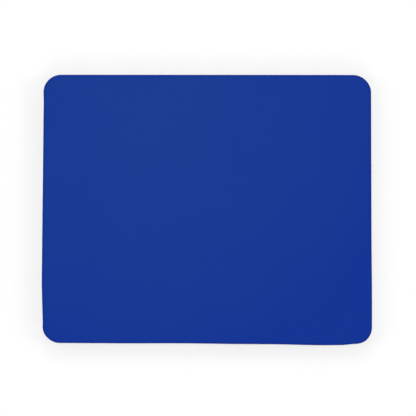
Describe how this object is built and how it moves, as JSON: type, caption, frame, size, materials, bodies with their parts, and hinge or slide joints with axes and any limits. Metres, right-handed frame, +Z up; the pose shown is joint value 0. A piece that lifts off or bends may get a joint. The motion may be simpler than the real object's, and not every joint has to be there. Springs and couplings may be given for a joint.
{
  "type": "mouse pad",
  "caption": "Rectangular mouse pad with rounded corners: blue knitted cloth bonded by a hot-melt film to a thick sponge rubber base, die-cut through all layers.",
  "frame": {"origin": "on the desk, under the middle of the pad", "axes": "+X to the right-hand edge, along the long side; +Y to the edge furthest from the user; +Z up, out of the cloth face"},
  "size_m": [0.22, 0.18, 0.006],
  "materials": {
    "sponge_rubber": "matte",
    "hot_melt_film": "satin",
    "knitted_cloth": "matte"
  },
  "bodies": {
    "root": {"sponge_base": "sponge_rubber", "adhesive_film": "hot_melt_film", "cloth_top": "knitted_cloth"}
  },
  "joints": []
}
